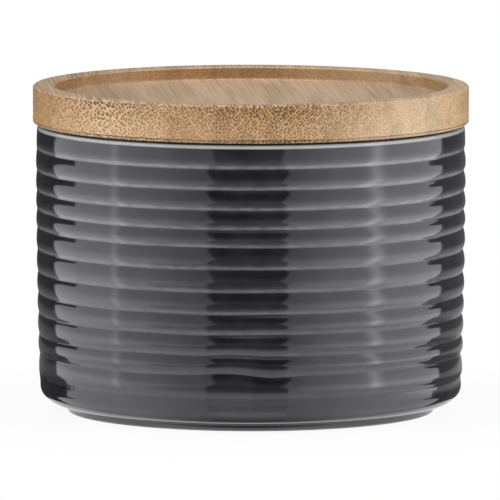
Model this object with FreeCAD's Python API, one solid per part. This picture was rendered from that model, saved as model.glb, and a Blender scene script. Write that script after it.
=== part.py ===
"""A storage canister: a ribbed stoneware jar, a laminated bamboo lid and the seal in its plug.

Sizes are in millimetres. +Z is up and the origin is on the jar's axis, under the foot ring.
The bamboo's grain runs along Y. Outlines are pairs (radius, height), turned about the axis.
"""

import FreeCAD, Part
import math
import os

# Jar, outside
JAR_HEIGHT = 72.9           # from the foot to the crest of the rim
WALL_DIAMETER = 108.5       # over the widest ribs
BASE_NARROWING = 0.7        # how far the wall draws in, on the radius, down to the base
RIB_DEPTH = 0.5             # from a rib's crest to the bottom of a groove
GROOVE_WIDTH = 1.2          # of the hollow between two ribs
RIB_HEIGHTS = (5.3, 5.1, 4.8, 4.5, 5.6, 5.7, 5.5, 5.1, 5.4, 4.9, 5.7)  # thrown by hand, from the top
TOP_BAND = 4.95             # from the rim's rounding to the first groove
BASE_BAND = 0.9             # from the last groove to the base's rounding
BASE_ROUND = 6.0
RIM_DRAW_IN = 0.75          # how far the rim stands inside the widest ribs, on the radius
RIM_OUTER_ROUND = 1.6

# Jar, inside and foot
RIM_WALL = 4.3
RIM_INNER_ROUND = 1.0
FLOOR_THICKNESS = 4.5
FLOOR_ROUND = 5.0
FOOT_HEIGHT = 1.8
FOOT_INSET = 0.9            # from the end of the base's rounding in to the foot ring
FOOT_WIDTH = 4.5
FOOT_EDGE_ROUND = 0.4

# Lid
LID_OVERHANG = 0.75         # beyond the widest ribs, on the radius
PLY_THICKNESS = 8.7         # each of the lid's two layers
FLANGE_LIP = 0.8            # part of the lower ply left at the lid's full width, rounded over
TRAY_RIM = 5.5              # flat ring around the tray in the lid's top
TRAY_DEPTH = 3.4
TRAY_ROUND = 0.8
LID_EDGE_BEVEL = 0.4        # on both edges of that ring
STRIP_COUNT = 5             # strips glued edge to edge in each ply
LEFT_STRIP_WIDTH = 21.25    # of the upper ply's strip at the lid's -X edge
RIGHT_STRIP_WIDTH = 25.45   # and at its +X edge
STRIP_STAGGER = 5.3         # of the lower ply's joints from the upper ply's

# Plug and seal
PLUG_GAP = 2.2              # between the plug and the neck, bridged by the seal
PLUG_EDGE_BEVEL = 0.6
SEAL_DROP = 2.6             # from the flange down to the seal's seat
SEAL_SEAT_HEIGHT = 3.4
SEAL_SEAT_DEPTH = 2.0
SEAL_FIT = 0.05             # between the seal and the walls of its seat
SEAL_PROUD = 0.3            # of the seal's back beyond the plug
LIP_COUNT = 2
LIP_ROOT = 0.8              # lip thickness at the seal's back
LIP_TIP = 0.4
LIP_FIT = 0.08              # between a lip's tip and the neck

# Radii and heights that the pieces share
WALL_RADIUS = WALL_DIAMETER / 2
RIM_RADIUS = WALL_RADIUS - RIM_DRAW_IN
NECK_RADIUS = RIM_RADIUS - RIM_WALL
FLOOR_Z = FOOT_HEIGHT + FLOOR_THICKNESS
TOP_GROOVE_Z = JAR_HEIGHT - RIM_OUTER_ROUND - TOP_BAND
BASE_GROOVE_Z = FOOT_HEIGHT + BASE_ROUND + BASE_BAND
LID_RADIUS = WALL_RADIUS + LID_OVERHANG
STRIP_WIDTH = (2 * LID_RADIUS - LEFT_STRIP_WIDTH - RIGHT_STRIP_WIDTH) / (STRIP_COUNT - 2)
FIRST_JOINT_X = LEFT_STRIP_WIDTH - LID_RADIUS
FLANGE_Z = JAR_HEIGHT       # the flange rests on the rim's crest
GLUE_Z = FLANGE_Z + FLANGE_LIP
LID_TOP_Z = GLUE_Z + PLY_THICKNESS
PLUG_RADIUS = NECK_RADIUS - PLUG_GAP
PLUG_Z = GLUE_Z - PLY_THICKNESS
SEAT_RADIUS = PLUG_RADIUS - SEAL_SEAT_DEPTH
SEAT_TOP_Z = FLANGE_Z - SEAL_DROP
SEAT_BOTTOM_Z = SEAT_TOP_Z - SEAL_SEAT_HEIGHT

AXIS_FOOT = FreeCAD.Vector(0, 0, 0)
UP = FreeCAD.Vector(0, 0, 1)
SAME_POINT = 1e-6


def at(point):
    """The place of an outline's (radius, height) in the plane that is turned."""
    return FreeCAD.Vector(point[0], 0, point[1])


def arc(start, through, end):
    return Part.Arc(at(start), at(through), at(end)).toShape()


def rounded_path(corners):
    """Straight edges through corners (radius, height, rounding), with an arc at each rounding."""
    edges = []
    here = at(corners[0])
    for before, corner, after in zip(corners, corners[1:], corners[2:]):
        point = at(corner)
        back = (at(before) - point).normalize()
        ahead = (at(after) - point).normalize()
        half_angle = back.getAngle(ahead) / 2
        reach = corner[2] / math.tan(half_angle)
        start = point + back * reach
        end = point + ahead * reach
        if here.distanceToPoint(start) > SAME_POINT:
            edges.append(Part.LineSegment(here, start).toShape())
        if corner[2]:
            inward = (back + ahead).normalize()
            middle = point + inward * (corner[2] / math.sin(half_angle) - corner[2])
            edges.append(Part.Arc(start, middle, end).toShape())
        here = end
    last = at(corners[-1])
    if here.distanceToPoint(last) > SAME_POINT:
        edges.append(Part.LineSegment(here, last).toShape())
    return edges


def turned(edges):
    """The solid of a closed outline turned about the axis."""
    outline = Part.Wire(Part.__sortEdges__(edges))
    return Part.Face(outline).revolve(AXIS_FOOT, UP, 360)


def crest_radius(height):
    """The line that touches the ribs' crests: it draws in with the square of the way down."""
    way_down = (TOP_GROOVE_Z - height) / (TOP_GROOVE_Z - BASE_GROOVE_Z)
    return WALL_RADIUS - BASE_NARROWING * max(way_down, 0) ** 2


def groove_heights():
    """The grooves from the top down: the hand-thrown ribs fill the wall between the end grooves."""
    share = (TOP_GROOVE_Z - BASE_GROOVE_Z) / sum(RIB_HEIGHTS)
    heights = [TOP_GROOVE_Z]
    for rib in RIB_HEIGHTS:
        heights.append(heights[-1] - rib * share)
    return heights


def ribbed_wall():
    """The wall's edges from the rim's rounding down, a rib and a groove by turns, and the last point.

    The first rib springs from the rim, and the others touch the line of the crests.
    """
    heights = groove_heights()
    mean_rib = (TOP_GROOVE_Z - BASE_GROOVE_Z) / len(RIB_HEIGHTS)
    shoulder_lift = RIB_DEPTH * GROOVE_WIDTH / mean_rib
    edges = []
    rib_top = (RIM_RADIUS, JAR_HEIGHT - RIM_OUTER_ROUND)
    for height in heights:
        bottom = (crest_radius(height) - RIB_DEPTH, height)
        upper = (bottom[0] + shoulder_lift, height + GROOVE_WIDTH / 2)
        lower = (bottom[0] + shoulder_lift, height - GROOVE_WIDTH / 2)
        crest_z = (rib_top[1] + upper[1]) / 2
        crest = crest_radius(crest_z) if edges else RIM_RADIUS + RIB_DEPTH
        edges.append(arc(rib_top, (crest, crest_z), upper))
        edges.append(arc(upper, bottom, lower))
        rib_top = lower
    return edges, rib_top


def jar_body():
    """One fired piece: the ribbed wall, the rounded base, the foot ring, the floor and the rim."""
    edges, wall_end = ribbed_wall()
    base_radius = wall_end[0]
    foot_outer = base_radius - BASE_ROUND - FOOT_INSET
    foot_inner = foot_outer - FOOT_WIDTH
    edges += rounded_path([
        (base_radius, wall_end[1], 0),
        (base_radius, FOOT_HEIGHT, BASE_ROUND),
        (foot_outer, FOOT_HEIGHT, FOOT_EDGE_ROUND),
        (foot_outer, 0, FOOT_EDGE_ROUND),
        (foot_inner, 0, FOOT_EDGE_ROUND),
        (foot_inner, FOOT_HEIGHT, FOOT_EDGE_ROUND),
        (0, FOOT_HEIGHT, 0),
        (0, FLOOR_Z, 0),
        (NECK_RADIUS, FLOOR_Z, FLOOR_ROUND),
        (NECK_RADIUS, JAR_HEIGHT, RIM_INNER_ROUND),
        (RIM_RADIUS, JAR_HEIGHT, RIM_OUTER_ROUND),
        (RIM_RADIUS, JAR_HEIGHT - RIM_OUTER_ROUND, 0),
    ])
    return turned(edges)


def lid_top_ply():
    """The lid's upper layer, with the shallow tray turned into its top."""
    tray_radius = LID_RADIUS - TRAY_RIM
    tray_z = LID_TOP_Z - TRAY_DEPTH
    return turned(rounded_path([
        (0, GLUE_Z, 0),
        (LID_RADIUS, GLUE_Z, 0),
        (LID_RADIUS, LID_TOP_Z - LID_EDGE_BEVEL, 0),
        (LID_RADIUS - LID_EDGE_BEVEL, LID_TOP_Z, 0),
        (tray_radius + LID_EDGE_BEVEL, LID_TOP_Z, 0),
        (tray_radius, LID_TOP_Z - LID_EDGE_BEVEL, 0),
        (tray_radius, tray_z, TRAY_ROUND),
        (0, tray_z, 0),
        (0, GLUE_Z, 0),
    ]))


def lid_plug_ply():
    """The lid's lower layer: the flange's rounded lip, and the plug with the seal's seat around it."""
    return turned(rounded_path([
        (0, GLUE_Z, 0),
        (LID_RADIUS, GLUE_Z, 0),
        (LID_RADIUS, FLANGE_Z, FLANGE_LIP),
        (PLUG_RADIUS, FLANGE_Z, 0),
        (PLUG_RADIUS, SEAT_TOP_Z, 0),
        (SEAT_RADIUS, SEAT_TOP_Z, 0),
        (SEAT_RADIUS, SEAT_BOTTOM_Z, 0),
        (PLUG_RADIUS, SEAT_BOTTOM_Z, 0),
        (PLUG_RADIUS, PLUG_Z + PLUG_EDGE_BEVEL, 0),
        (PLUG_RADIUS - PLUG_EDGE_BEVEL, PLUG_Z, 0),
        (0, PLUG_Z, 0),
        (0, GLUE_Z, 0),
    ]))


def strips(ply, first_joint):
    """A ply sawn along the grain at its glued joints, from -X to +X, the inner strips all of one width."""
    box = ply.BoundBox
    inner_joints = [first_joint + k * STRIP_WIDTH for k in range(STRIP_COUNT - 1)]
    joints = [box.XMin - STRIP_WIDTH] + inner_joints + [box.XMax + STRIP_WIDTH]
    pieces = []
    for left, right in zip(joints, joints[1:]):
        corner = FreeCAD.Vector(left, box.YMin, box.ZMin)
        slab = Part.makeBox(right - left, box.YLength, box.ZLength, corner)
        pieces.append(ply.common(slab).Solids[0])
    return pieces


def lid_seal():
    """The moulded ring in the plug's seat: a flat back with thin lips that reach out to the neck."""
    back_radius = PLUG_RADIUS + SEAL_PROUD
    top = SEAT_TOP_Z - SEAL_FIT
    bottom = SEAT_BOTTOM_Z + SEAL_FIT
    tip_radius = NECK_RADIUS - LIP_FIT
    corners = [(SEAT_RADIUS + SEAL_FIT, bottom, 0), (back_radius, bottom, 0)]
    for k in range(LIP_COUNT):
        middle = bottom + (top - bottom) * (k + 0.5) / LIP_COUNT
        corners.append((back_radius, middle - LIP_ROOT / 2, 0))
        corners.append((tip_radius, middle - LIP_TIP / 2, 0))
        corners.append((tip_radius, middle + LIP_TIP / 2, 0))
        corners.append((back_radius, middle + LIP_ROOT / 2, 0))
    corners += [(back_radius, top, 0), (SEAT_RADIUS + SEAL_FIT, top, 0), corners[0]]
    return turned(rounded_path(corners))


def main():
    pieces = {"jar_body": jar_body(), "lid_seal": lid_seal()}
    for number, strip in enumerate(strips(lid_top_ply(), FIRST_JOINT_X), 1):
        pieces[f"lid_top_strip_{number}"] = strip
    for number, strip in enumerate(strips(lid_plug_ply(), FIRST_JOINT_X + STRIP_STAGGER), 1):
        pieces[f"lid_plug_strip_{number}"] = strip
    os.makedirs("parts", exist_ok=True)
    for name, piece in pieces.items():
        piece.exportStep(f"parts/{name}.step")
        print(f"{name}: {piece.Volume / 1000:.2f} cm3, valid {piece.isValid()}")


main()
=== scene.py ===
# %% [markdown]
# # A ribbed storage canister with a bamboo lid
# The real object is a thrown stoneware jar under a charcoal glaze, a lid glued up from bamboo strips
# and a silicone seal around the lid's plug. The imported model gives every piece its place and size, so
# this lesson only gives the pieces their finished surfaces, lays the stage and sets the camera.

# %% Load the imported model
import math

import bpy
import numpy as np
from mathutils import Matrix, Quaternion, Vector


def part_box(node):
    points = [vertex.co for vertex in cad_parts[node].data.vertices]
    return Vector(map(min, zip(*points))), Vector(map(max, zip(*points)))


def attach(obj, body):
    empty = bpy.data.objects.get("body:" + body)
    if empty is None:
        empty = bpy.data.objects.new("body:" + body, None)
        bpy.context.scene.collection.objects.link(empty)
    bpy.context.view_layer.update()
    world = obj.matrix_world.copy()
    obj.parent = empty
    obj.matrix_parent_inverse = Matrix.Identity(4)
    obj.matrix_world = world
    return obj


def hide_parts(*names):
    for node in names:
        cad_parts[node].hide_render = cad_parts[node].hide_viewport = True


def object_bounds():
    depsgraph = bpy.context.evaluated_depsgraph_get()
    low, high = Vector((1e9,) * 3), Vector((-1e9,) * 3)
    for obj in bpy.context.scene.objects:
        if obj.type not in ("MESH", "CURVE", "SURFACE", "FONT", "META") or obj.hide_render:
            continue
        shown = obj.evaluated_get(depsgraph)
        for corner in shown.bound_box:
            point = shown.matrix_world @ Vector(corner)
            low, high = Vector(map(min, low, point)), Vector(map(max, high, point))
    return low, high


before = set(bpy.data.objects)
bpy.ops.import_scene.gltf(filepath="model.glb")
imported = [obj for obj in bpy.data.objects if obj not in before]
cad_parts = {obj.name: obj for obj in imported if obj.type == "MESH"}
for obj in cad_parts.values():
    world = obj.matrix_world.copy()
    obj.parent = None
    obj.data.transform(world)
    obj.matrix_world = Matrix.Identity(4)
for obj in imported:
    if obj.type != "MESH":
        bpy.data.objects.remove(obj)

CAD_LOW, CAD_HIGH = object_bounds()
print("packed box in mm:", [round(1000 * (h - l), 2) for l, h in zip(CAD_LOW, CAD_HIGH)])

# %% [markdown]
# ## The jar
# The jar is thrown by hand: a finger leaves a groove at each turn, so the ribs differ in height, and
# the grooves wander a little, more so near the base. Low on the front the finger slipped once, which two
# grooves show. A solid from the CAD model can't wander, so the jar is a surface worked out with numpy:
# its outline is carried round the axis, and the grooves' heights and depths are functions of the angle.
# Modelling one rib and copying it would lose that.

# %% Sizes of the jar
MM = 0.001
_, jar_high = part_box("jar_body")
JAR_TOP = jar_high.z
WALL_RADIUS = jar_high.x
RIM_RADIUS = WALL_RADIUS - 0.25 * MM
NECK_RADIUS = WALL_RADIUS - 5.05 * MM
RIM_OUTER_ROUND = 1.6 * MM
RIM_INNER_ROUND = 1.0 * MM
FLOOR_Z = 6.3 * MM
FLOOR_ROUND = 5.0 * MM
FOOT_HEIGHT = 1.8 * MM
FOOT_ROUND = 0.4 * MM
BASE_ROUND_UP = 4.6 * MM
BASE_BAND = 2.5 * MM
TOP_GROOVE_Z = JAR_TOP - RIM_OUTER_ROUND - 4.95 * MM
BASE_GROOVE_Z = FOOT_HEIGHT + BASE_ROUND_UP + BASE_BAND
RIB_HEIGHTS = np.array([5.3, 5.1, 4.8, 4.5, 5.6, 5.7, 5.5, 5.1, 5.4, 4.9, 5.7])
RIB_DEPTH = 0.42 * MM
BASE_NARROWING = 0.8 * MM
print("jar: height", round(JAR_TOP / MM, 2), "mm, radius", round(WALL_RADIUS / MM, 2), "mm")

# %% Rows of an outline, carried round the axis
ROUND_STEPS = 360
ANGLES = np.linspace(0, 2 * np.pi, ROUND_STEPS, endpoint=False)


def ring_rows(radii, heights):
    """A plain turned stretch: row i has radius i and height i at every angle."""
    shape = (len(radii), ROUND_STEPS)
    spread = [np.broadcast_to(np.asarray(v)[:, None], shape) for v in (radii, heights)]
    return np.stack(spread)


def arc_rows(radius, height, rounding, start, end, steps):
    """A rounded stretch: the arc's centre plus its rounding times the cosine and sine of the sweep."""
    sweep = np.radians(np.linspace(start, end, steps))
    return ring_rows(radius + rounding * np.cos(sweep), height + rounding * np.sin(sweep))


print("an outline has", ROUND_STEPS, "points to a row")

# %% Soft steps and bells


def eased(values, start, end):
    """0 before start and 1 after end, with a smooth step between. Start may also be the larger one."""
    way = np.clip((values - start) / (end - start), 0, 1)
    return way * way * (3 - 2 * way)


def bell(values, centre, width):
    """1 at the centre, falling off with the square of the distance over the width."""
    return np.exp(-((values - centre) / width) ** 2)


# %% How the hand wanders
WAVES = np.array([1, 2, 3, 7, 12])
WAVE_SHARES = np.array([0.25, 0.25, 0.2, 0.2, 0.2])
SLIP_ANGLE = math.radians(260)
SLIP_RISE = 0.55 * MM
SLIP_DIP = 0.4 * MM
BASE_WANDER = 0.1 * MM
WANDER_AT_TOP_MM, WANDER_GROWTH_MM = 0.06, 0.3
HEIGHT_SEED, DEPTH_SEED = 3, 8


def hand_wander(count, seed):
    """For each of count grooves, a sum of sine waves round the jar with its own phases, about -1 to 1."""
    phases = np.random.default_rng(seed).uniform(0, 2 * np.pi, (count, len(WAVES)))
    waves = np.sin(WAVES[None, :, None] * ANGLES + phases[:, :, None])
    return np.einsum("k,gka->ga", WAVE_SHARES, waves)


shares = np.concatenate([[0], np.cumsum(RIB_HEIGHTS) / RIB_HEIGHTS.sum()])
groove_z = TOP_GROOVE_Z + (BASE_GROOVE_Z - TOP_GROOVE_Z) * shares
wander_reach = MM * (WANDER_AT_TOP_MM + WANDER_GROWTH_MM * shares ** 2)
wander_reach[-1] = BASE_WANDER
GROOVE_HEIGHTS = groove_z[:, None] + wander_reach[:, None] * hand_wander(len(groove_z), HEIGHT_SEED)
slip = SLIP_RISE * bell(ANGLES, SLIP_ANGLE, 0.13) - SLIP_DIP * bell(ANGLES, SLIP_ANGLE + 0.2, 0.1)
GROOVE_HEIGHTS[-2] += slip
GROOVE_HEIGHTS[-3] += 0.5 * slip
deeper_right = 1 + 0.3 * np.cos(ANGLES)
deeper_down = (0.88 + 0.24 * shares)[:, None]
uneven = 1 + 0.12 * hand_wander(len(groove_z), DEPTH_SEED)
GROOVE_DEPTHS = RIB_DEPTH * deeper_right * deeper_down * uneven
# The lowest groove is shallow, except on the right.
GROOVE_DEPTHS[-1] = MM * (0.12 + 0.38 * np.cos(ANGLES).clip(0) ** 2)
print("grooves:", len(groove_z), "wandering up to", round(1000 * wander_reach.max(), 2), "mm, and a slip")

# %% The ribbed wall
RIB_STEPS = 14
RIB_CRESTS = np.append(np.linspace(0.64, 0.53, len(RIB_HEIGHTS) - 1), 0.74)[:, None, None]
GROOVE_SOFTNESS = 0.06
TOP_CREST = 0.68
TOP_RADIUS = WALL_RADIUS - 0.15 * MM


def crest_radius(heights):
    """The line over the ribs' crests: it draws in with the square of the way down the wall."""
    way_down = (TOP_GROOVE_Z - heights) / (TOP_GROOVE_Z - BASE_GROOVE_Z)
    return WALL_RADIUS - BASE_NARROWING * np.maximum(way_down, 0) ** 2


def swelling(way):
    """A rib's swell, 0 in a groove and 1 on the crest: two half parabolas, softened in the groove.

    They meet at the rib's crest, which lies below the rib's middle, and lowest in the last rib.
    """
    nearness = np.where(way < RIB_CRESTS, way / RIB_CRESTS, (1 - way) / (1 - RIB_CRESTS))
    parabola = 1 - (1 - nearness) ** 2
    soft = np.sqrt(parabola ** 2 + GROOVE_SOFTNESS ** 2) - GROOVE_SOFTNESS
    return soft / (math.hypot(1, GROOVE_SOFTNESS) - GROOVE_SOFTNESS)


def rib_rows():
    """All ribs at once, as arrays (rib, step, angle): the crest's line less the depth times 1 - swell."""
    way = (1 - np.cos(np.linspace(0, np.pi, RIB_STEPS, endpoint=False))) / 2
    down = way[None, :, None]
    heights = GROOVE_HEIGHTS[:-1, None] * (1 - down) + GROOVE_HEIGHTS[1:, None] * down
    depths = GROOVE_DEPTHS[:-1, None] * (1 - down) + GROOVE_DEPTHS[1:, None] * down
    radii = crest_radius(heights) - depths * (1 - swelling(down))
    return np.stack([radii.reshape(-1, ROUND_STEPS), heights.reshape(-1, ROUND_STEPS)])


def top_band_rows():
    """The first rib, from the rim's rounding down: nearly upright, then a parabola into the groove."""
    way = np.linspace(0, 1, RIB_STEPS, endpoint=False)[:, None]
    end_radius = crest_radius(GROOVE_HEIGHTS[0]) - GROOVE_DEPTHS[0]
    above = TOP_RADIUS - (TOP_RADIUS - RIM_RADIUS) * (1 - way / TOP_CREST) ** 2
    below = TOP_RADIUS - (TOP_RADIUS - end_radius) * ((way - TOP_CREST) / (1 - TOP_CREST)) ** 2
    radii = np.where(way < TOP_CREST, above, below)
    top = JAR_TOP - RIM_OUTER_ROUND
    return np.stack([radii, top + (GROOVE_HEIGHTS[0] - top) * way])


print("ribs:", len(RIB_HEIGHTS), "below the first band, in", RIB_STEPS, "rows each")

# %% The jar's whole outline
BASE_RADIUS = WALL_RADIUS - 1.085 * MM
FOOT_OUTER = WALL_RADIUS - 7.985 * MM
FOOT_INNER = FOOT_OUTER - 4.5 * MM


def base_band_rows():
    """From the last groove down to the base's rounding: the radius eases in along a parabola."""
    way = np.linspace(0, 1, 9, endpoint=False)[:, None]
    start_radius = crest_radius(GROOVE_HEIGHTS[-1]) - GROOVE_DEPTHS[-1]
    end = FOOT_HEIGHT + BASE_ROUND_UP
    radii = BASE_RADIUS + (start_radius - BASE_RADIUS) * (1 - way) ** 2
    return np.stack([radii, GROOVE_HEIGHTS[-1] + (end - GROOVE_HEIGHTS[-1]) * way])


def base_round_rows():
    """The base's rounding: a quarter of an ellipse, wider than it is high, down to the foot's corner."""
    sweep = np.radians(np.linspace(0, 90, 20))
    radii = BASE_RADIUS - (BASE_RADIUS - FOOT_OUTER - FOOT_ROUND) * (1 - np.cos(sweep))
    return ring_rows(radii, FOOT_HEIGHT + BASE_ROUND_UP * (1 - np.sin(sweep)))


def jar_rows():
    """From the middle of the floor up the inside, over the rim, down the ribs and under the foot."""
    neck_top = JAR_TOP - RIM_INNER_ROUND
    wall_z = np.linspace(FLOOR_Z + FLOOR_ROUND, neck_top, 8)[1:-1]
    return np.concatenate([
        ring_rows(np.linspace(0, NECK_RADIUS - FLOOR_ROUND, 7)[:-1], [FLOOR_Z] * 6),
        arc_rows(NECK_RADIUS - FLOOR_ROUND, FLOOR_Z + FLOOR_ROUND, FLOOR_ROUND, -90, 0, 10),
        ring_rows([NECK_RADIUS] * len(wall_z), wall_z),
        arc_rows(NECK_RADIUS + RIM_INNER_ROUND, neck_top, RIM_INNER_ROUND, 180, 90, 7),
        arc_rows(RIM_RADIUS - RIM_OUTER_ROUND, JAR_TOP - RIM_OUTER_ROUND, RIM_OUTER_ROUND, 90, 4, 12),
        top_band_rows(),
        rib_rows(),
        base_band_rows(),
        base_round_rows()[:, :-1],
        arc_rows(FOOT_OUTER + FOOT_ROUND, FOOT_HEIGHT - FOOT_ROUND, FOOT_ROUND, 90, 180, 5),
        arc_rows(FOOT_OUTER - FOOT_ROUND, FOOT_ROUND, FOOT_ROUND, 0, -90, 5),
        arc_rows(FOOT_INNER + FOOT_ROUND, FOOT_ROUND, FOOT_ROUND, -90, -180, 5),
        arc_rows(FOOT_INNER - FOOT_ROUND, FOOT_HEIGHT - FOOT_ROUND, FOOT_ROUND, 0, 90, 4),
        ring_rows(np.linspace(FOOT_INNER - FOOT_ROUND, 0, 5)[1:], [FOOT_HEIGHT] * 4),
    ], axis=1)


JAR_RADII, JAR_HEIGHTS = jar_rows()
print("jar outline:", len(JAR_RADII), "rows of", ROUND_STEPS, "points")

# %% From rows to a closed mesh


def quads_between(first, second):
    """Faces between rows of point numbers round the axis, outwards where the first row is the upper one."""
    faces = [first, second, np.roll(second, -1, axis=-1), np.roll(first, -1, axis=-1)]
    return np.stack(faces, axis=-1).reshape(-1, 4)


def points_of(radii, heights):
    """Rows as points: radius times the cosine and sine of the angle, and the height."""
    points = np.stack([radii * np.cos(ANGLES), radii * np.sin(ANGLES), heights], axis=-1)
    return points.reshape(-1, 3)


def finished(name, points, faces):
    """A smooth mesh object at the origin, linked to the scene."""
    mesh = bpy.data.meshes.new(name)
    mesh.from_pydata(points.tolist(), [], faces)
    mesh.polygons.foreach_set("use_smooth", np.ones(len(mesh.polygons), bool))
    mesh.update()
    piece = bpy.data.objects.new(name, mesh)
    bpy.context.scene.collection.objects.link(piece)
    print(name, "has", len(mesh.vertices), "points and", len(mesh.polygons), "faces")
    return piece


def turned_with_poles(name, radii, heights):
    """Rows that start and end on the axis: the inner rows make quads, and each end a fan to one pole."""
    points = points_of(radii[1:-1], heights[1:-1])
    numbers = np.arange(len(points)).reshape(-1, ROUND_STEPS)
    first_pole, last_pole = len(points), len(points) + 1
    poles = [[0, 0, heights[0, 0]], [0, 0, heights[-1, 0]]]
    opening = [np.full(ROUND_STEPS, first_pole), numbers[0], np.roll(numbers[0], -1)]
    closing = [np.roll(numbers[-1], -1), numbers[-1], np.full(ROUND_STEPS, last_pole)]
    fans = np.concatenate([np.stack(opening, axis=-1), np.stack(closing, axis=-1)])
    faces = quads_between(numbers[:-1], numbers[1:]).tolist() + fans.tolist()
    return finished(name, np.concatenate([points, poles]), faces)


jar = turned_with_poles("glazed_jar", JAR_RADII, JAR_HEIGHTS)

# %% [markdown]
# ## Pale marks on the glaze
# The rim's rounding shows a pale grey band. Fainter, blotchy pale lines run along the underside of each
# rib, just over the groove, with a haze that fades upwards from them: they are painted reflection of the
# bright floor that those slopes face. Both follow the outline, so they are worked out from it and kept on
# the mesh as attributes, which the material reads. Masks by height alone would also hit the inside, and
# would miss the wandering grooves.

# %% Masks for the pale rim band and the painted reflection lines
RIM_BAND_LOW = JAR_TOP - 1.6 * MM
RIM_BAND_HIGH = JAR_TOP - 0.8 * MM
RIM_BAND_SOFTNESS = 0.3 * MM
# Pale lines over the grooves, and a haze above them, are painted reflection of the bright floor.
REFLECTION_OVER_GROOVE = 0.5 * MM
REFLECTION_WIDTH = 0.38 * MM
REFLECTION_HAZE_TOP = 3.0 * MM
REFLECTION_HAZE_STRENGTH = 0.28
REFLECTION_STRENGTH = 0.85
REFLECTION_FADING, REFLECTION_HAZE_FADING = 0.8, 0.65


def jar_points_attribute(name, values):
    """Stores one number per point of the jar, in the order of its points."""
    flat = np.concatenate([values[1:-1].ravel(), [values[0, 0], values[-1, 0]]])
    stored = jar.data.attributes.new(name, "FLOAT", "POINT")
    stored.data.foreach_set("value", flat.astype(np.float32))


outside = JAR_RADII > NECK_RADIUS + RIM_INNER_ROUND
# A pale grey band on the outside of the rim's rounding, between two heights.
rim_band = eased(JAR_HEIGHTS, RIM_BAND_LOW, RIM_BAND_LOW + RIM_BAND_SOFTNESS)
rim_band *= eased(JAR_HEIGHTS, RIM_BAND_HIGH + RIM_BAND_SOFTNESS, RIM_BAND_HIGH)
jar_points_attribute("pale_rim_band", rim_band * outside)
# Painted reflection of the floor: a pale line just over each groove and a haze above it, fainter down the
# jar.
over_groove = JAR_HEIGHTS[None] - GROOVE_HEIGHTS[:, None]
reflection_strengths = (REFLECTION_STRENGTH - REFLECTION_FADING * shares)[:, None, None]
lines = bell(over_groove, REFLECTION_OVER_GROOVE, REFLECTION_WIDTH) * reflection_strengths
reflection_haze = REFLECTION_HAZE_STRENGTH * eased(over_groove, REFLECTION_HAZE_TOP, REFLECTION_OVER_GROOVE) * (over_groove > 0)
lines = lines + reflection_haze * (1 - REFLECTION_HAZE_FADING * shares)[:, None, None]
jar_points_attribute("painted_floor_reflection", lines.max(axis=0) * outside)
print("points with thin glaze:", int((rim_band * outside > 0.5).sum()), "on the rim")

# %% Seat the jar in the frame
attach(jar, "jar")
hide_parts("jar_body")
print(jar.name, "stands in for jar_body")

# %% [markdown]
# ## The seal
# The seal is one moulded silicone ring with two soft lips that reach out to the neck. Its outline is a
# closed loop carried round the axis, with round lip tips, where the CAD solid has square ones.

# %% Outline of the seal
seal_low, seal_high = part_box("lid_seal")
SEAL_TIP = seal_high.x
SEAL_BACK = SEAL_TIP - 1.82 * MM
SEAL_INNER = SEAL_BACK - 2.25 * MM
LIP_ROOT = 0.4 * MM
LIP_TIP = 0.2 * MM
EDGE_ROUND = 0.25 * MM


def seal_rows():
    """A loop: the round-cornered back, and two lips whose half thickness falls from root to tip."""
    middle = (seal_low.z + seal_high.z) / 2
    half = (seal_high.z - seal_low.z) / 2
    stretches = []
    inner = SEAL_INNER + EDGE_ROUND
    stretches.append(arc_rows(inner, middle - half + EDGE_ROUND, EDGE_ROUND, 180, 270, 5))
    stretches.append(arc_rows(SEAL_BACK - EDGE_ROUND, middle - half + EDGE_ROUND, EDGE_ROUND, 270, 360, 5))
    for lip in (-1, 1):
        lip_z = middle + lip * half / 2
        stretches.append(ring_rows([SEAL_BACK], [lip_z - LIP_ROOT]))
        stretches.append(arc_rows(SEAL_TIP - LIP_TIP, lip_z, LIP_TIP, -90, 90, 9))
        stretches.append(ring_rows([SEAL_BACK], [lip_z + LIP_ROOT]))
    stretches.append(arc_rows(SEAL_BACK - EDGE_ROUND, middle + half - EDGE_ROUND, EDGE_ROUND, 0, 90, 5))
    stretches.append(arc_rows(inner, middle + half - EDGE_ROUND, EDGE_ROUND, 90, 180, 5))
    return np.concatenate(stretches, axis=1)


def turned_loop(name, radii, heights):
    """A closed outline carried round the axis, so that rows and angles both join end to end."""
    points = points_of(radii, heights)
    numbers = np.arange(len(points)).reshape(-1, ROUND_STEPS)
    return finished(name, points, quads_between(np.roll(numbers, -1, axis=0), numbers).tolist())


seal = turned_loop("silicone_seal", *seal_rows())
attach(seal, "seal")
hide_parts("lid_seal")

# %% [markdown]
# ## Laying out shader nodes
# Each finish below is a small tree of nodes. Helpers keep the trees short: they place a node with its
# settings and inputs, do a sum, ease a value between two limits, mix colours, and read a noise, an
# attribute or the distance from the axis. Two more start a material and put it on a piece.

# %% Helpers for nodes


def place(tree, kind, inputs=None, **settings):
    """A new node: settings are its properties, inputs are sockets to join or plain values."""
    node = tree.nodes.new(kind)
    for name, value in settings.items():
        setattr(node, name, value)
    for name, value in (inputs or {}).items():
        if isinstance(value, bpy.types.NodeSocket):
            tree.links.new(value, node.inputs[name])
        else:
            node.inputs[name].default_value = value
    return node


def calc(tree, operation, *values):
    return place(tree, "ShaderNodeMath", dict(enumerate(values)), operation=operation).outputs[0]


def ease(tree, value, low, high, start=0.0, end=1.0):
    """start below low and end above high, with a smooth step between."""
    sockets = {"Value": value, "From Min": low, "From Max": high, "To Min": start, "To Max": end}
    return place(tree, "ShaderNodeMapRange", sockets, interpolation_type="SMOOTHSTEP").outputs[0]


def mixed(tree, share, first, second, blend_type="MIX"):
    sockets = {0: share, 6: first, 7: second}
    node = place(tree, "ShaderNodeMix", sockets, data_type="RGBA", blend_type=blend_type)
    return node.outputs[2]


# %% Helpers for textures and materials


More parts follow.
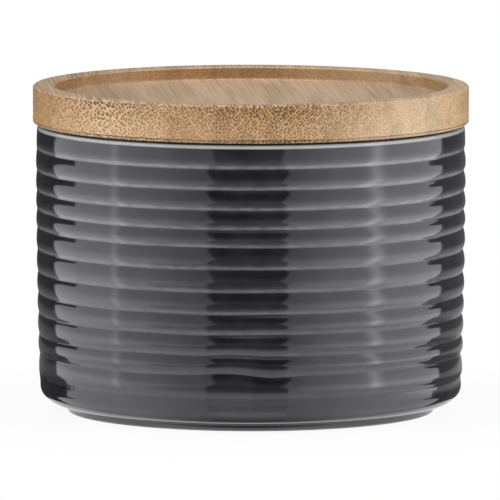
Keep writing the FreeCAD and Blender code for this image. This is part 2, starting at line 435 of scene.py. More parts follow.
def noise(tree, vector, scale, detail):
    """The value of a noise texture, mostly between 0.3 and 0.7."""
    sockets = {"Vector": vector, "Scale": scale, "Detail": detail}
    return place(tree, "ShaderNodeTexNoise", sockets).outputs[0]


def attribute(tree, name):
    return place(tree, "ShaderNodeAttribute", attribute_name=name).outputs["Fac"]


def from_axis(tree, x, y):
    """The distance from the axis: the root of x squared plus y squared."""
    squares = [calc(tree, "MULTIPLY", value, value) for value in (x, y)]
    return calc(tree, "SQRT", calc(tree, "ADD", *squares))


def new_material(name):
    """An empty material, its tree and its output node."""
    material = bpy.data.materials.new(name)
    material.use_nodes = True
    material.node_tree.nodes.clear()
    return material, material.node_tree, place(material.node_tree, "ShaderNodeOutputMaterial")


def wear(piece, material):
    """Gives a piece its material, in the slot that it already has or in a new one."""
    if not piece.material_slots:
        piece.data.materials.append(material)
    piece.material_slots[0].material = material


# %% [markdown]
# ## The charcoal glaze
# The glaze is a glassy coat over dark clay: almost black by itself, so nearly all that shows is what it
# mirrors, with a slightly blue tint. Fine throwing lines run round the jar under it, the coat is a little
# cloudy, and here and there a pale speck of clay comes through. The rim's rounding has a pale grey band,
# the grooves have pale lines of painted floor reflection, the foot is a little duller, and it stands on
# bare clay.

# %% Make the charcoal glaze
GLAZE_DARK = (0.009, 0.009, 0.012, 1)
GLAZE_CLOUD = (0.016, 0.016, 0.02, 1)
# The grey of the painted floor reflection over the grooves.
GLAZE_PAINTED_REFLECTION = (0.2, 0.2, 0.205, 1)
GLAZE_FOOT = (0.012, 0.012, 0.011, 1)
# The pale grey of the band on the rim's rounding.
RIM_BAND_GREY = (0.45, 0.45, 0.45, 1)
BARE_CLAY = (0.4, 0.37, 0.33, 1)
GLAZE_TINT = (0.92, 0.92, 1, 1)
GLAZE_IOR = 1.97
BARE_TOP = 0.45 * MM
BARE_BOTTOM = 0.25 * MM
CLOUDS_PER_METRE = 160
SPECKS_PER_METRE = 70
BLOTCH_STRETCH = (14, 900)
THROWING_LINES = (3, 2600)


def round_vector(tree, coordinates, around, up):
    """Coordinates stretched round the axis: the unit direction times around, and the height times up."""
    parts = place(tree, "ShaderNodeSeparateXYZ", {0: coordinates}).outputs
    radius = from_axis(tree, parts[0], parts[1])
    scale = calc(tree, "DIVIDE", around, calc(tree, "MAXIMUM", radius, MM))
    stretched = [calc(tree, "MULTIPLY", part, scale) for part in parts[:2]]
    stretched.append(calc(tree, "MULTIPLY", parts[2], up))
    return place(tree, "ShaderNodeCombineXYZ", dict(enumerate(stretched))).outputs[0]


def glaze_colour(tree, here, cloud, foot, bare):
    """Cloudy dark glass, and over it the painted reflection lines, specks, pale rim band, foot and bare
    clay in turn.
    """
    colour = mixed(tree, ease(tree, cloud, 0.35, 0.7), GLAZE_DARK, GLAZE_CLOUD)
    # Painted reflection of the floor over the grooves, broken into blotches.
    blotch = noise(tree, round_vector(tree, here, *BLOTCH_STRETCH), 1, 2)
    line = calc(tree, "MULTIPLY", attribute(tree, "painted_floor_reflection"), ease(tree, blotch, 0.3, 0.65, 0.62, 1))
    colour = mixed(tree, line, colour, GLAZE_PAINTED_REFLECTION)
    specks = place(tree, "ShaderNodeTexVoronoi", {"Vector": here, "Scale": SPECKS_PER_METRE}).outputs
    lucky = place(tree, "ShaderNodeSeparateColor", {0: specks["Color"]}).outputs[0]
    speck = ease(tree, specks["Distance"], 0.03, 0.015, 0, 0.12)
    colour = mixed(tree, calc(tree, "MULTIPLY", speck, ease(tree, lucky, 0.85, 0.9)), colour, BARE_CLAY)
    # The pale grey band on the rim's rounding, broken a little by the clouds.
    thin = calc(tree, "MULTIPLY", attribute(tree, "pale_rim_band"), ease(tree, cloud, 0.1, 0.6, 0.8, 1))
    colour = mixed(tree, thin, colour, RIM_BAND_GREY)
    colour = mixed(tree, calc(tree, "MULTIPLY", foot, 0.7), colour, GLAZE_FOOT)
    return mixed(tree, bare, colour, BARE_CLAY)


def charcoal_glaze():
    """A glossy coat over fine throwing lines, duller on the foot and matt where the clay is bare."""
    material, tree, output = new_material("charcoal_glaze")
    here = place(tree, "ShaderNodeTexCoord").outputs["Object"]
    height = place(tree, "ShaderNodeSeparateXYZ", {0: here}).outputs[2]
    foot = ease(tree, height, FOOT_HEIGHT, FOOT_HEIGHT - 2 * FOOT_ROUND)
    bare = ease(tree, height, BARE_TOP, BARE_BOTTOM)
    cloud = noise(tree, here, CLOUDS_PER_METRE, 4)
    lines = noise(tree, round_vector(tree, here, *THROWING_LINES), 1, 3)
    roughness = calc(tree, "ADD", calc(tree, "MULTIPLY", lines, 0.06), calc(tree, "MULTIPLY", bare, 0.6))
    roughness = calc(tree, "ADD", roughness, ease(tree, foot, 0, 1, 0.05, 0.12))
    bump = place(tree, "ShaderNodeBump", {"Height": lines, "Strength": 0.12, "Distance": 0.02 * MM})
    shader = place(tree, "ShaderNodeBsdfPrincipled", {
        "Base Color": glaze_colour(tree, here, cloud, foot, bare), "Roughness": roughness,
        "IOR": GLAZE_IOR, "Specular Tint": GLAZE_TINT, "Normal": bump.outputs[0]})
    tree.links.new(shader.outputs[0], output.inputs["Surface"])
    return material


wear(jar, charcoal_glaze())
print("glaze on", jar.name)

# %% [markdown]
# ## Bamboo
# A bamboo strip is a bundle of fibres. On the end grain each fibre bundle shows as a dark dot, crowded
# and dark towards the cane's skin and sparser towards its heart, and along the grain the same bundles
# show as fine streaks. A solid texture gives both at once: a pattern of cells in X and Z, the same all
# along Y. It is a node group, because every strip uses it with its own spacing and start. The bundles
# stand in staggered rows, so the cells are turned by a slant.

# %% The fibre group's sockets
top_low, top_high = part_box("lid_top_strip_1")
GLUE_Z = top_low.z
LID_TOP_Z = top_high.z
LID_RADIUS = CAD_HIGH.x
TRAY_RADIUS = LID_RADIUS - 5.5 * MM
PLY_DEPTH = LID_TOP_Z - GLUE_Z
FIBRE_VALUES = ("Skin Height", "Spacing", "Shift", "Left Joint", "Right Joint")


def fibre_sockets():
    """An empty group with its sockets: values in, colour, roughness and height out."""
    group = bpy.data.node_groups.new("bamboo_fibres", "ShaderNodeTree")
    for name in FIBRE_VALUES:
        group.interface.new_socket(name, in_out="INPUT", socket_type="NodeSocketFloat")
    group.interface.new_socket("Color", in_out="OUTPUT", socket_type="NodeSocketColor")
    for name in ("Roughness", "Height"):
        group.interface.new_socket(name, in_out="OUTPUT", socket_type="NodeSocketFloat")
    given = group.nodes.new("NodeGroupInput").outputs
    return group, given, group.nodes.new("NodeGroupOutput").inputs


print("upper ply:", round(PLY_DEPTH / MM, 2), "mm deep, tray radius", round(TRAY_RADIUS / MM, 2), "mm")

# %% Dots of the fibre bundles
DOT_SLANT = math.radians(40)
DOT_FLATTENING = 0.88


def fibre_dots(group, given, x, depth, drift):
    """Dots round the middles of slanted cells, and the tone of each: smaller and fainter with depth."""
    across = calc(group, "ADD", calc(group, "DIVIDE", x, given["Spacing"]), given["Shift"])
    across = calc(group, "ADD", across, calc(group, "MULTIPLY", drift, 1.4))
    rows = calc(group, "DIVIDE", DOT_FLATTENING * PLY_DEPTH, given["Spacing"])
    down = calc(group, "MULTIPLY", depth, rows)
    down = calc(group, "ADD", down, calc(group, "MULTIPLY", drift, 0.8))
    cells = place(group, "ShaderNodeCombineXYZ", {0: across, 1: down}).outputs[0]
    slanted = place(group, "ShaderNodeMapping", {"Vector": cells, "Rotation": (0, 0, DOT_SLANT)}).outputs[0]
    fibres = place(group, "ShaderNodeTexVoronoi", {"Vector": slanted, "Scale": 1, "Randomness": 0.7},
                   voronoi_dimensions="2D")
    edge = calc(group, "SUBTRACT", fibres.outputs["Distance"], ease(group, depth, 0, 1, 0.43, 0.33))
    tone = place(group, "ShaderNodeSeparateColor", {0: fibres.outputs["Color"]}).outputs[0]
    faded = calc(group, "MULTIPLY", ease(group, tone, 0, 1, 0.6, 1), ease(group, depth, 0, 1, 1, 0.72))
    return calc(group, "MULTIPLY", ease(group, edge, 0.1, -0.12), faded)


# %% Seams between strips and plies
SEAM_HALF_WIDTH = 0.16 * MM
JOINT_HALF_WIDTH = 0.08 * MM


def fibre_seams(group, given, x, z, drift):
    """The dark line of the glued plies and the faint ones between strips, broken by the drift."""
    away = calc(group, "ABSOLUTE", calc(group, "SUBTRACT", z, GLUE_Z))
    seam = ease(group, away, SEAM_HALF_WIDTH, 0.4 * SEAM_HALF_WIDTH)
    for joint in ("Left Joint", "Right Joint"):
        away = calc(group, "ABSOLUTE", calc(group, "SUBTRACT", x, given[joint]))
        faint = ease(group, away, JOINT_HALF_WIDTH, 0.3 * JOINT_HALF_WIDTH, 0, 0.25)
        seam = calc(group, "MAXIMUM", seam, faint)
    return calc(group, "MULTIPLY", seam, ease(group, drift, 0.25, 0.6, 0.3, 0.85))


# %% [markdown]
# ## The tones across the lid
# The strips come from different canes and were laid with like beside like, so the tones pass over the
# joints without a step. From left to right bold dark dots on a pale ground give way to finer tan ones, to
# dense dots on brown, and to pale wood with hardly any. Two ramps across the lid hold these tones.

# %% Ramps across the lid
BAMBOO_FIBRE = (0.065, 0.03, 0.013, 1)
TONES = (
    # mm from the axis, strength of the dots, tone of the painted sheen in the tray, pale ground, brown
    # ground
    (-54, 0.75, 0.80, (0.62, 0.41, 0.22), (0.58, 0.38, 0.20)),
    (-40, 1.00, 0.78, (0.78, 0.54, 0.32), (0.74, 0.50, 0.29)),
    (-22, 0.68, 0.95, (0.64, 0.41, 0.22), (0.60, 0.38, 0.20)),
    (-9, 0.90, 1.02, (0.60, 0.38, 0.20), (0.54, 0.33, 0.155)),
    (7, 1.00, 1.04, (0.58, 0.365, 0.187), (0.51, 0.305, 0.138)),
    (19, 0.66, 0.98, (0.66, 0.45, 0.27), (0.62, 0.42, 0.24)),
    (32, 0.22, 0.90, (0.71, 0.53, 0.34), (0.67, 0.49, 0.30)),
    (40, 0.10, 0.86, (0.76, 0.58, 0.38), (0.72, 0.54, 0.34)),
    (54, 0.20, 0.86, (0.70, 0.52, 0.33), (0.66, 0.48, 0.30)),
)


def ramp(group, value, stops):
    """A colour ramp over 0 to 1 with a stop for each place and colour; its outputs are colour and alpha."""
    node = place(group, "ShaderNodeValToRGB", {0: value})
    elements = node.color_ramp.elements
    while len(elements) < len(stops):
        elements.new(0.5)
    for element, (position, colour) in zip(elements, stops):
        element.position = position
        element.color = colour
    return node.outputs


def tones_across(group, x):
    """Pale and brown grounds by X, with the dots' strength and the painted sheen's tone as their alphas."""
    across = calc(group, "ADD", calc(group, "DIVIDE", x, 2 * LID_RADIUS), 0.5)
    places = [0.5 + place_mm * MM / (2 * LID_RADIUS) for place_mm, *_ in TONES]
    pale = [(at, (*pale, strength)) for at, (_, strength, _, pale, _) in zip(places, TONES)]
    brown = [(at, (*brown, sheen / 2)) for at, (_, _, sheen, _, brown) in zip(places, TONES)]
    return ramp(group, across, pale), ramp(group, across, brown)


print("tones:", len(TONES), "stops across the lid")

# %% Ground tones and grain
# Level faces are mixed to this paler, greyer tan: painted sheen.
PAINTED_SHEEN = (0.71, 0.53, 0.36, 1)
# The tray's inside is multiplied by this grey: painted shade in the recess.
TRAY_PAINTED_SHADE = (0.73, 0.68, 0.65, 1)
FLANK_TINT = (0.9, 0.82, 0.7, 1)
GRAIN_TINT = (0.78, 0.72, 0.65, 1)
FINE_STREAKS = (1900, 24, 1900)
BROAD_STREAKS = (260, 12, 160)


def ground_tones(group, grounds, sheen_tone, depth, inside, facing):
    """Brown by the skin and pale below it, painted shade in the tray, dimmer on the flanks, painted sheen
    on level faces.
    """
    pale, brown = grounds
    ground = mixed(group, ease(group, depth, 0, 0.7), brown, pale)
    # Painted shade: the tray's inside is multiplied darker and greyer.
    ground = mixed(group, inside, ground, TRAY_PAINTED_SHADE, "MULTIPLY")
    flank = ease(group, calc(group, "ABSOLUTE", facing[0]), 0.7, 0.97)
    ground = mixed(group, flank, ground, FLANK_TINT, "MULTIPLY")
    # Painted sheen: level faces turn to the pale tan, scaled in the tray by the ramp's tone.
    sheen_share = ease(group, calc(group, "ABSOLUTE", facing[2]), 0.4, 0.9)
    scaled = {0: PAINTED_SHEEN[:3], "Scale": ease(group, inside, 0, 1, 1, sheen_tone)}
    sheen = place(group, "ShaderNodeVectorMath", scaled, operation="SCALE").outputs[0]
    return mixed(group, sheen_share, ground, sheen)


def streaks_along(group, here, squeeze):
    """Streaks along the grain: noise on coordinates that are squeezed across it."""
    squeezed = place(group, "ShaderNodeMapping", {"Vector": here, "Scale": squeeze}).outputs[0]
    return noise(group, squeezed, 1, 3)


# %% The fibre group


def fibre_group():
    """The ground with fine and broad streaks, then the dots and the seams over it."""
    group, given, result = fibre_sockets()
    coordinates = place(group, "ShaderNodeTexCoord").outputs
    here = coordinates["Object"]
    x, y, z = place(group, "ShaderNodeSeparateXYZ", {0: here}).outputs[:3]
    facing = place(group, "ShaderNodeSeparateXYZ", {0: coordinates["Normal"]}).outputs
    depth = calc(group, "DIVIDE", calc(group, "SUBTRACT", given["Skin Height"], z), PLY_DEPTH)
    depth = place(group, "ShaderNodeClamp", {0: depth}).outputs[0]
    inside = ease(group, from_axis(group, x, y), TRAY_RADIUS + 0.8 * MM, TRAY_RADIUS + 0.4 * MM)

    (pale, strength), (brown, half_sheen_tone) = tones_across(group, x)
    # Half the painted sheen's tone in the tray rides in the brown ramp's alpha.
    sheen_tone = calc(group, "MULTIPLY", half_sheen_tone, 2)
    colour = ground_tones(group, (pale, brown), sheen_tone, depth, inside, facing)
    grain = streaks_along(group, here, FINE_STREAKS)
    colour = mixed(group, ease(group, grain, 0.3, 0.7), colour, GRAIN_TINT, "MULTIPLY")
    bands = streaks_along(group, here, BROAD_STREAKS)
    colour = mixed(group, ease(group, bands, 0.4, 0.7, 0, 0.24), colour, BAMBOO_FIBRE)

    drift = noise(group, here, 45, 2)
    dot = fibre_dots(group, given, x, depth, drift)
    end_grain = ease(group, calc(group, "ABSOLUTE", facing[1]), 0.1, 0.75, 0.4, 1)
    end_grain = calc(group, "MULTIPLY", end_grain, ease(group, inside, 0, 1, 1, 0.3))
    strength = calc(group, "MULTIPLY", strength, end_grain)
    colour = mixed(group, calc(group, "MULTIPLY", dot, strength), colour, BAMBOO_FIBRE)
    colour = mixed(group, fibre_seams(group, given, x, z, drift), colour, BAMBOO_FIBRE)

    group.links.new(colour, result["Color"])
    group.links.new(ease(group, grain, 0.2, 0.8, 0.38, 0.52), result["Roughness"])
    group.links.new(calc(group, "SUBTRACT", calc(group, "MULTIPLY", grain, 0.4), dot), result["Height"])
    return group


FIBRES = fibre_group()
print("fibre group:", len(FIBRES.nodes), "nodes")

# %% One material per strip
OUTSIDE = 1.0
BAMBOO_IOR = 1.45
EDGE_STRIP_REACH = 0.9 * LID_RADIUS
SHIFT_BY_SPACING = 40 / MM
SHIFT_BY_PLACE = 100


def bamboo(name, strip, skin, spacing):
    """The fibres of one strip: its own spacing and start, with joints where it meets other strips.

    An edge that meets no other strip has its joint outside the lid, where nothing shows it.
    """
    material, tree, output = new_material(name)
    low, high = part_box(strip)
    fibres = place(tree, "ShaderNodeGroup", node_tree=FIBRES)
    values = {
        "Skin Height": skin,
        "Spacing": spacing,
        "Shift": SHIFT_BY_SPACING * spacing + SHIFT_BY_PLACE * high.x,
        "Left Joint": low.x if low.x > -EDGE_STRIP_REACH else -OUTSIDE,
        "Right Joint": high.x if high.x < EDGE_STRIP_REACH else OUTSIDE,
    }
    for socket, value in values.items():
        fibres.inputs[socket].default_value = value
    bump = place(tree, "ShaderNodeBump", {
        "Height": fibres.outputs["Height"], "Strength": 0.25, "Distance": 0.05 * MM})
    shader = place(tree, "ShaderNodeBsdfPrincipled", {
        "Base Color": fibres.outputs["Color"], "Roughness": fibres.outputs["Roughness"],
        "IOR": BAMBOO_IOR, "Normal": bump.outputs[0]})
    tree.links.new(shader.outputs[0], output.inputs["Surface"])
    return material


# %% Dress the lid
STRIP_SPACINGS = (0.72, 0.64, 0.68, 0.62, 0.6)
for number, spacing in enumerate(STRIP_SPACINGS, 1):
    for ply, skin in (("top", LID_TOP_Z), ("plug", GLUE_Z)):
        strip = f"lid_{ply}_strip_{number}"
        finish = bamboo(f"bamboo_{ply}_{number}", strip, skin, spacing * MM)
        wear(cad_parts[strip], finish)
print("bamboo on", 2 * len(STRIP_SPACINGS), "strips")

# %% [markdown]
# ## Silicone
# Moulded silicone is milky and satin: light goes a little way in, and the surface has the fine grain of
# its mould.

# %% Make the silicone
SILICONE_DEEP = (0.68, 0.68, 0.66, 1)
SILICONE_MILKY = (0.76, 0.76, 0.73, 1)
SILICONE_GLOW = (2 * MM, 2 * MM, 2 * MM)
SILICONE_IOR = 1.43


def silicone():
    """Two milky tones in soft clouds, a fine grain in the gloss, and a little light from within."""
    material, tree, output = new_material("silicone")
    here = place(tree, "ShaderNodeTexCoord").outputs["Object"]
    grain = noise(tree, here, 2500, 2)
    colour = mixed(tree, noise(tree, here, 90, 2), SILICONE_DEEP, SILICONE_MILKY)
    roughness = ease(tree, grain, 0.3, 0.7, 0.36, 0.48)
    bump = place(tree, "ShaderNodeBump", {"Height": grain, "Strength": 0.15, "Distance": 0.03 * MM})
    shader = place(tree, "ShaderNodeBsdfPrincipled", {
        "Base Color": colour, "Roughness": roughness, "IOR": SILICONE_IOR, "Normal": bump.outputs[0],
        "Subsurface Weight": 0.15, "Subsurface Radius": SILICONE_GLOW})
    tree.links.new(shader.outputs[0], output.inputs["Surface"])
    return material


wear(seal, silicone())
print("silicone on", seal.name)

# %% [markdown]
# ## Camera
# The photograph was taken from far off with a long lens, from a little above. The values below put the
# lid's two ellipses, the foot and the outer edges within a few pixels of their places in the picture.

# %% Place the camera
PICTURE_WIDTH_PX = 500
FOCAL_PX = 12743
CAMERA_REACH = 3.2
CAMERA_HEIGHT = 0.387
CAMERA_TILT = math.radians(6.18)
CAMERA_TURN = math.radians(-4.5)
CAMERA_ROLL = math.radians(0.05)
CAMERA_SHIFT = -0.0016

camera = bpy.data.objects.new("camera", bpy.data.cameras.new("camera"))
bpy.context.scene.collection.objects.link(camera)
bpy.context.scene.camera = camera
camera.data.sensor_width = 36
camera.data.lens = FOCAL_PX * camera.data.sensor_width / PICTURE_WIDTH_PX
camera.data.clip_end = 100
camera.data.shift_x = CAMERA_SHIFT
camera.location.x = CAMERA_REACH * math.sin(CAMERA_TURN)
camera.location.y = -CAMERA_REACH * math.cos(CAMERA_TURN)
camera.location.z = CAMERA_HEIGHT
turned = Quaternion((0, 0, 1), CAMERA_TURN)
tilted = Quaternion((1, 0, 0), math.pi / 2 - CAMERA_TILT)
rolled = Quaternion((0, 0, 1), CAMERA_ROLL)
camera.rotation_mode = "QUATERNION"
camera.rotation_quaternion = turned @ tilted @ rolled
print("lens:", round(camera.data.lens, 1), "mm")

# %% [markdown]
# ## Stage
# The canister stands on a white floor in a white room. The eye sees plain white, and the floor keeps a
# little of the object's shadow.

# %% Light that only some rays see
WHITE = (1, 1, 1, 1)
AMBIENT = 0.35


def seen_directly(tree):
    """1 for rays from the camera, from a gloss or through glass, and 0 for scattered light."""
    rays = place(tree, "ShaderNodeLightPath").outputs
    seen = calc(tree, "MAXIMUM", rays["Is Camera Ray"], rays["Is Glossy Ray"])
    return calc(tree, "MAXIMUM", seen, rays["Is Transmission Ray"])


world = bpy.data.worlds.new("white_room")
bpy.context.scene.world = world
world.use_nodes = True
world.node_tree.nodes.clear()
room = place(world.node_tree, "ShaderNodeBackground", {
    "Color": WHITE, "Strength": ease(world.node_tree, seen_directly(world.node_tree), 0, 1, AMBIENT, 1)})
world_output = place(world.node_tree, "ShaderNodeOutputWorld")
world.node_tree.links.new(room.outputs[0], world_output.inputs["Surface"])
print("world:", AMBIENT, "scattered, 1 seen directly")

# %% The floor
FLOOR_REACH = 8.0
UNDER_FOOT = 0.02 * MM
SHADOW_SHARE = 0.07
SHADOW_NEAR, SHADOW_FAR = 0.05, 0.14
FLOOR_PAINT = (0.85, 0.85, 0.85, 1)


def floor_finish():
    """White to the eye, with a share of the true shaded floor near the object to keep its shadow."""
    material, tree, output = new_material("white_floor")
    here = place(tree, "ShaderNodeTexCoord").outputs["Object"]
    away = place(tree, "ShaderNodeVectorMath", {0: here}, operation="LENGTH").outputs["Value"]
    shaded = ease(tree, away, SHADOW_NEAR, SHADOW_FAR, SHADOW_SHARE, 0)
    share = calc(tree, "MULTIPLY", seen_directly(tree), calc(tree, "SUBTRACT", 1, shaded))
    paint = place(tree, "ShaderNodeBsdfDiffuse", {"Color": FLOOR_PAINT}).outputs[0]
    glow = place(tree, "ShaderNodeEmission", {"Color": WHITE, "Strength": 1}).outputs[0]
    top = place(tree, "ShaderNodeMixShader", {0: share, 1: paint, 2: glow}).outputs[0]
    clear = place(tree, "ShaderNodeBsdfTransparent").outputs[0]
    below = place(tree, "ShaderNodeNewGeometry").outputs["Backfacing"]
    both = place(tree, "ShaderNodeMixShader", {0: below, 1: top, 2: clear}).outputs[0]
    tree.links.new(both, output.inputs["Surface"])
    material.cycles.emission_sampling = "NONE"
    return material


corners = FLOOR_REACH * np.array([[-1, -1, 0], [1, -1, 0], [1, 1, 0], [-1, 1, 0]])
floor = finished("floor", corners - [0, 0, UNDER_FOOT], [[0, 1, 2, 3]])
wear(floor, floor_finish())

# %% [markdown]
# ## The mirrored room
# A glossy dark jar shows little but its surroundings, so what it mirrors is made with care: bright sides
# over a pale floor that dims close to the jar, a dark stretch in front, where the camera stands, and dark
# stretches behind. They draw the dark middle and the dark edges of the jar. It is one surface, seen in
# gloss alone. A ray that meets the wall at some turn from the camera's side leaves it at twice that turn,
# so the surface is laid out along such rays, and an upright mark in it stands upright on the jar.

# %% Layout of the mirrored room
TURNS = np.linspace(-90, 90, 541)
ROOM_REACH = 0.85
ROOM_HEIGHT = 1.6
UNDER_JAR = 0.006
JUST_OVER_FLOOR = 0.00015
PATH_STEPS = 70
OUT_START, UP_START = 0.01, 0.02


def room_path():
    """Out over the floor from the jar in growing steps, then up a far wall: reaches and heights."""
    out = np.geomspace(OUT_START, OUT_START + UNDER_JAR + ROOM_REACH, PATH_STEPS) - OUT_START - UNDER_JAR
    up = np.geomspace(UP_START, UP_START + ROOM_HEIGHT, PATH_STEPS) - UP_START
    reaches = np.concatenate([out, np.full(len(up), ROOM_REACH)])
    heights = JUST_OVER_FLOOR + np.concatenate([np.zeros(len(out)), up])
    return reaches[:, None], heights[:, None]


print("mirrored room:", 2 * PATH_STEPS, "steps out and up,", len(TURNS), "turns")

# %% [markdown]
# ## How bright the room is
# The brightness of each stretch is a formula in the turn, in degrees from the camera's side, the reach
# from the jar and the height, both in metres. Lists of a few levels say how it changes along the floor.
# Where a dark stretch reaches in further on the floor or high up, it draws dark teeth on the ribs' lower
# sides and dark tongues on their upper sides, because those mirror the floor and the far wall.

# %% Brightness of the sides
SIDE_FLOOR = {0.05: 0.8, 0.12: 0.92, 0.2: 0.88, 0.4: 0.8, 0.85: 0.67}
SIDE_SHARES = {
    -65: 1.45, -55: 1.5, -43: 1.58, -34: 1.29, -25: 1.05, -19: 0.81, -13: 0.65,
    12: 0.75, 19: 1.07, 25: 1.33, 34: 1.6, 43: 1.78, 60: 1.8,
}
RIGHT_STREAK_TURN, LEFT_STREAK_TURN = 36, -39.3
PATCH_REACH = 0.085
PATCH_DIMMING = 0.33
CLOSE_LEVEL, CLOSE_GAIN_AT_SIDES, CLOSE_LOSS_UNDER = 0.66, 0.36, 0.4


def level_at(values, levels):
    """Levels along a line, each given at its place, with straight stretches between."""
    return np.interp(values, list(levels), list(levels.values()))


def side_greys(reaches, heights):
    """The bright sides: a level by reach and height, times a share by the turn, larger to either side.

    Two upright streaks brighten them, and a patch of floor on the left is dimmer. Close to the jar the
    floor's level depends on the turn alone, less a loss under the jar's edge.
    """
    level = level_at(reaches, SIDE_FLOOR) - 0.08 * eased(heights, 0, 0.2)
    streaks = 1.3 * bell(TURNS, RIGHT_STREAK_TURN, 2.2) + 0.7 * bell(TURNS, LEFT_STREAK_TURN, 1.3)
    patch = eased(TURNS, -30, -27) * (TURNS < 0) * bell(reaches, PATCH_REACH, 0.045)
    greys = level * (level_at(TURNS, SIDE_SHARES) + streaks) * (1 - PATCH_DIMMING * patch)
    close = CLOSE_LEVEL + CLOSE_GAIN_AT_SIDES * eased(np.abs(TURNS), 12, 40)
    close = close - CLOSE_LOSS_UNDER * eased(reaches, 0.001, -0.005)
    return greys + (close - greys) * eased(reaches, 0.085, 0.045)


# %% Brightness of the front and the back
FRONT_FLOOR = {
    -0.004: 0.2, 0.001: 0.8, 0.006: 0.72, 0.012: 0.5, 0.02: 0.52, 0.03: 0.58, 0.045: 0.4, 0.06: 0.12,
    0.1: 0.07, 0.16: 0.07, 0.25: 0.09, 0.4: 0.13,
}
SCREEN_DIMMING = 0.11
WALL_OVER_SCREEN = 0.45
BACK_ON_LEFT, BACK_ON_RIGHT = 0.5, 1.15


def front_greys(reaches, heights):
    """The dark front: a floor that is grey close to the jar and near-black further off, then a screen.

    The screen darkens upwards, and the wall over it is a middle grey.
    """
    level = level_at(reaches, FRONT_FLOOR) - SCREEN_DIMMING * eased(heights, 0, 0.16)
    return level + WALL_OVER_SCREEN * eased(heights, 0.3, 0.38)


def back_greys(reaches):
    """The dark back: lighter on the floor some way from the jar, and lighter on the right."""
    level = 0.12 + 0.25 * eased(reaches, 0.4, 0.12) - 0.27 * eased(reaches, 0.1, 0.05)
    return level * np.where(TURNS < 0, BACK_ON_LEFT, BACK_ON_RIGHT)


# %% Where the stretches meet
EDGE_SOFTNESS = 0.5
FRONT_LEFT, FRONT_RIGHT = -9.6, 8.3
FRONT_FLARE = 2.2
WIDER_LEFT, WIDER_RIGHT = 2.6, 1.9
BACK_LEFT, BACK_RIGHT = -66, 62.3
BASE_TOOTH = 4
DRAWN_BACK = 4
LEFT_TONGUE, RIGHT_TONGUE = 11.5, 6


def beyond(edge):
    """1 at turns beyond the edge, which may differ from row to row, with a soft step."""
    return eased(TURNS, edge - EDGE_SOFTNESS, edge + EDGE_SOFTNESS)


def teeth(reaches, on_ribs, starts, ends):
    """Degrees by which a dark edge reaches in over the floor: on_ribs past a soft step, more at the base.

    Under the jar's edge it draws back instead.
    """
    under = eased(reaches, 0.028, 0.012)
    reach_in = on_ribs * eased(reaches, starts, ends) + BASE_TOOTH * eased(reaches, 0.038, 0.03)
    return reach_in * (1 - under) - DRAWN_BACK * under


def front_share(reaches, heights):
    """1 in the dark front, which is wider on the floor near the jar and flares a little with height."""
    flare = FRONT_FLARE * np.clip(heights / 0.25, 0, 1)
    near = eased(reaches, 0.5, 0.08)
    left = FRONT_LEFT - flare - WIDER_LEFT * near
    right = FRONT_RIGHT + flare + WIDER_RIGHT * near
    return beyond(left) * (1 - beyond(right))


def back_share(reaches, heights):
    """1 in the dark back, whose edges have teeth over the floor and tongues on the far wall."""
    left_tongue = LEFT_TONGUE * np.clip(heights / 0.075, 0, 1) ** 2 * eased(heights, 0.19, 0.12)
    right_tongue = RIGHT_TONGUE * eased(heights, 0.08, 0.15) * eased(heights, 0.23, 0.18)
    left = BACK_LEFT + teeth(reaches, 5, 0.1, 0.06) + left_tongue
    right = BACK_RIGHT - teeth(reaches, 3, 0.12, 0.08) - right_tongue
    return 1 - beyond(left) + beyond(right)


def room_greys(reaches, heights):
    """The sides, with the front and then the back mixed in by their shares."""
    greys = side_greys(reaches, heights)
    greys = greys + (front_greys(reaches, heights) - greys) * front_share(reaches, heights)
    return greys + (back_greys(reaches) - greys) * back_share(reaches, heights)


print("dark front:", FRONT_LEFT, "to", FRONT_RIGHT, "degrees; dark back past", BACK_LEFT, "and", BACK_RIGHT)

# %% Build the mirrored room


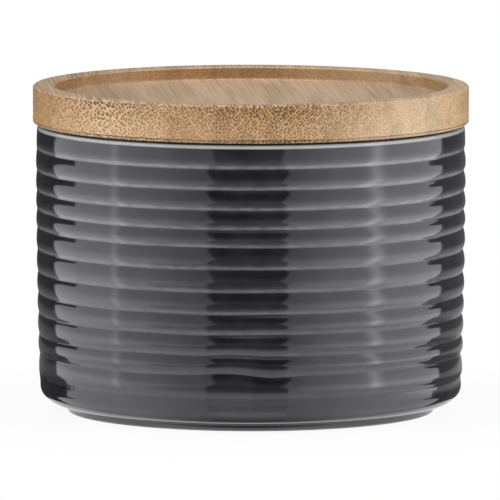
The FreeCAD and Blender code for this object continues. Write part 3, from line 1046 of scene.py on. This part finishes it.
def mirrored_room():
    """The path carried along the mirrored rays: the jar's wall plus the reach along twice the turn."""
    reaches, heights = room_path()
    wall = np.radians(TURNS) + CAMERA_TURN
    ray = 2 * np.radians(TURNS) + CAMERA_TURN
    across = WALL_RADIUS * np.sin(wall) + reaches * np.sin(ray)
    along = -WALL_RADIUS * np.cos(wall) - reaches * np.cos(ray)
    points = np.stack([across, along, np.broadcast_to(heights, across.shape)], axis=-1).reshape(-1, 3)
    numbers = np.arange(len(points)).reshape(across.shape)
    sides = [numbers[:-1, :-1], numbers[:-1, 1:], numbers[1:, 1:], numbers[1:, :-1]]
    faces = np.stack(sides, axis=-1).reshape(-1, 4)
    clear = numbers[reaches[:, 0] > 2 * WALL_RADIUS]
    closing = np.stack([clear[:-1, -1], clear[:-1, 0], clear[1:, 0], clear[1:, -1]], axis=-1)
    room = finished("mirrored_room", points, np.concatenate([faces, closing]).tolist())
    greys = room.data.attributes.new("grey", "FLOAT", "POINT")
    greys.data.foreach_set("value", room_greys(reaches, heights).ravel().astype(np.float32))
    room.visible_camera = room.visible_diffuse = room.visible_shadow = False
    room.visible_transmission = False
    return room


def room_glow():
    """Light of the strength that each point of the room holds."""
    material, tree, output = new_material("room_glow")
    lit = {"Color": WHITE, "Strength": attribute(tree, "grey")}
    glow = place(tree, "ShaderNodeEmission", lit).outputs[0]
    tree.links.new(glow, output.inputs["Surface"])
    material.cycles.emission_sampling = "NONE"
    return material


wear(mirrored_room(), room_glow())

# %% [markdown]
# ## Lamps
# Two large soft lamps stand to the left and the right of the camera, a little raised, and a third hangs
# above. They light what is matt, such as the bamboo. The gloss doesn't see them: it mirrors the room.

# %% Hang the lamps


def soft_lamp(name, azimuth, rise, distance, size, radiance):
    """A square area lamp aimed at the lid; its power is the radiance times pi times its area."""
    turn = math.radians(azimuth) + CAMERA_TURN
    lift = math.radians(rise)
    lamp = bpy.data.objects.new(name, bpy.data.lights.new(name, "AREA"))
    bpy.context.scene.collection.objects.link(lamp)
    lamp.data.size = size
    lamp.data.energy = radiance * math.pi * size * size
    lamp.location.x = distance * math.cos(lift) * math.sin(turn)
    lamp.location.y = -distance * math.cos(lift) * math.cos(turn)
    lamp.location.z = distance * math.sin(lift) + LID_TOP_Z
    lamp.rotation_euler = (math.pi / 2 - lift, 0, turn)
    lamp.visible_camera = lamp.visible_glossy = False
    return lamp


soft_lamp("left_lamp", azimuth=-56, rise=22, distance=1.2, size=1.0, radiance=2.8)
soft_lamp("right_lamp", azimuth=60, rise=22, distance=1.2, size=1.0, radiance=2.9)
soft_lamp("top_lamp", azimuth=0, rise=88, distance=1.2, size=0.8, radiance=1.6)

# %% [markdown]
# ## Finish
# Colours are shown as they are written.

# %% Finish
bpy.context.scene.view_settings.view_transform = "Standard"
